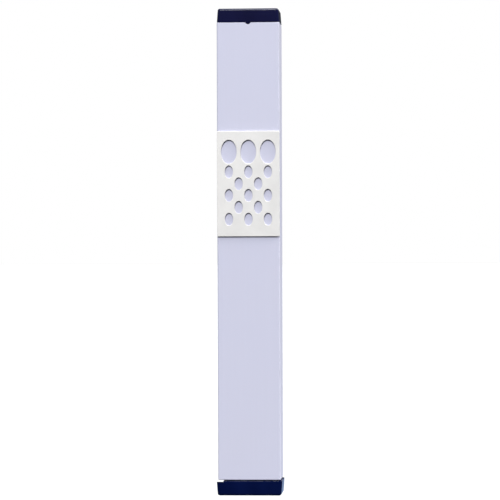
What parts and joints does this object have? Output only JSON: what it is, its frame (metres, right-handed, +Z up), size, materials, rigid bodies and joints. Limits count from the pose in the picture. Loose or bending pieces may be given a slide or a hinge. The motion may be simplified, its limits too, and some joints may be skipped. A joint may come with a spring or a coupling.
{
  "type": "mezuzah case",
  "caption": "Slim upright doorpost case: an extruded channel with a perforated front plate and plastic end caps slides over a wall strip and holds a rolled parchment.",
  "frame": {"origin": "middle of the wall strip's rear face, which lies on the doorpost", "axes": "+Z up along the case, +Y into the doorpost, +X to the right of somebody who faces the case"},
  "size_m": [0.021, 0.0301, 0.1554],
  "materials": {
    "lavender_anodised": "satin anodised, pale lavender, bright cut ends",
    "blasted_aluminium": "bead blasted, silver white",
    "adhesive_film": "thin double-sided film",
    "navy_plastic": "satin moulded, navy",
    "mill_aluminium": "mill finish, drawn along its length",
    "zinc_plate": "bright zinc plated steel",
    "parchment": "blank calf parchment, matte cream",
    "clear_film": "clear plastic film"
  },
  "bodies": {
    "wall_strip": {"back_strip": "mill_aluminium", "upper_screw": "zinc_plate", "lower_screw": "zinc_plate"},
    "case": {"case_channel": "lavender_anodised", "perforated_plate": "blasted_aluminium", "plate_adhesive": "adhesive_film"},
    "upper_cap": {"top_cap": "navy_plastic"},
    "lower_cap": {"bottom_cap": "navy_plastic"},
    "scroll": {"parchment_scroll": "parchment", "scroll_sleeve": "clear_film"}
  },
  "joints": [
    {"name": "case_slide", "type": "slide", "parent": "wall_strip", "child": "case", "axis": [0, 0, 1], "range_m": [0, 0.152]},
    {"name": "top_cap_pull", "type": "slide", "parent": "case", "child": "upper_cap", "axis": [0, 0, 1], "range_m": [0, 0.015]},
    {"name": "bottom_cap_pull", "type": "slide", "parent": "case", "child": "lower_cap", "axis": [0, 0, -1], "range_m": [0, 0.015]},
    {"name": "scroll_slide", "type": "slide", "parent": "lower_cap", "child": "scroll", "axis": [0, 0, 1], "range_m": [0, 0.02]}
  ]
}
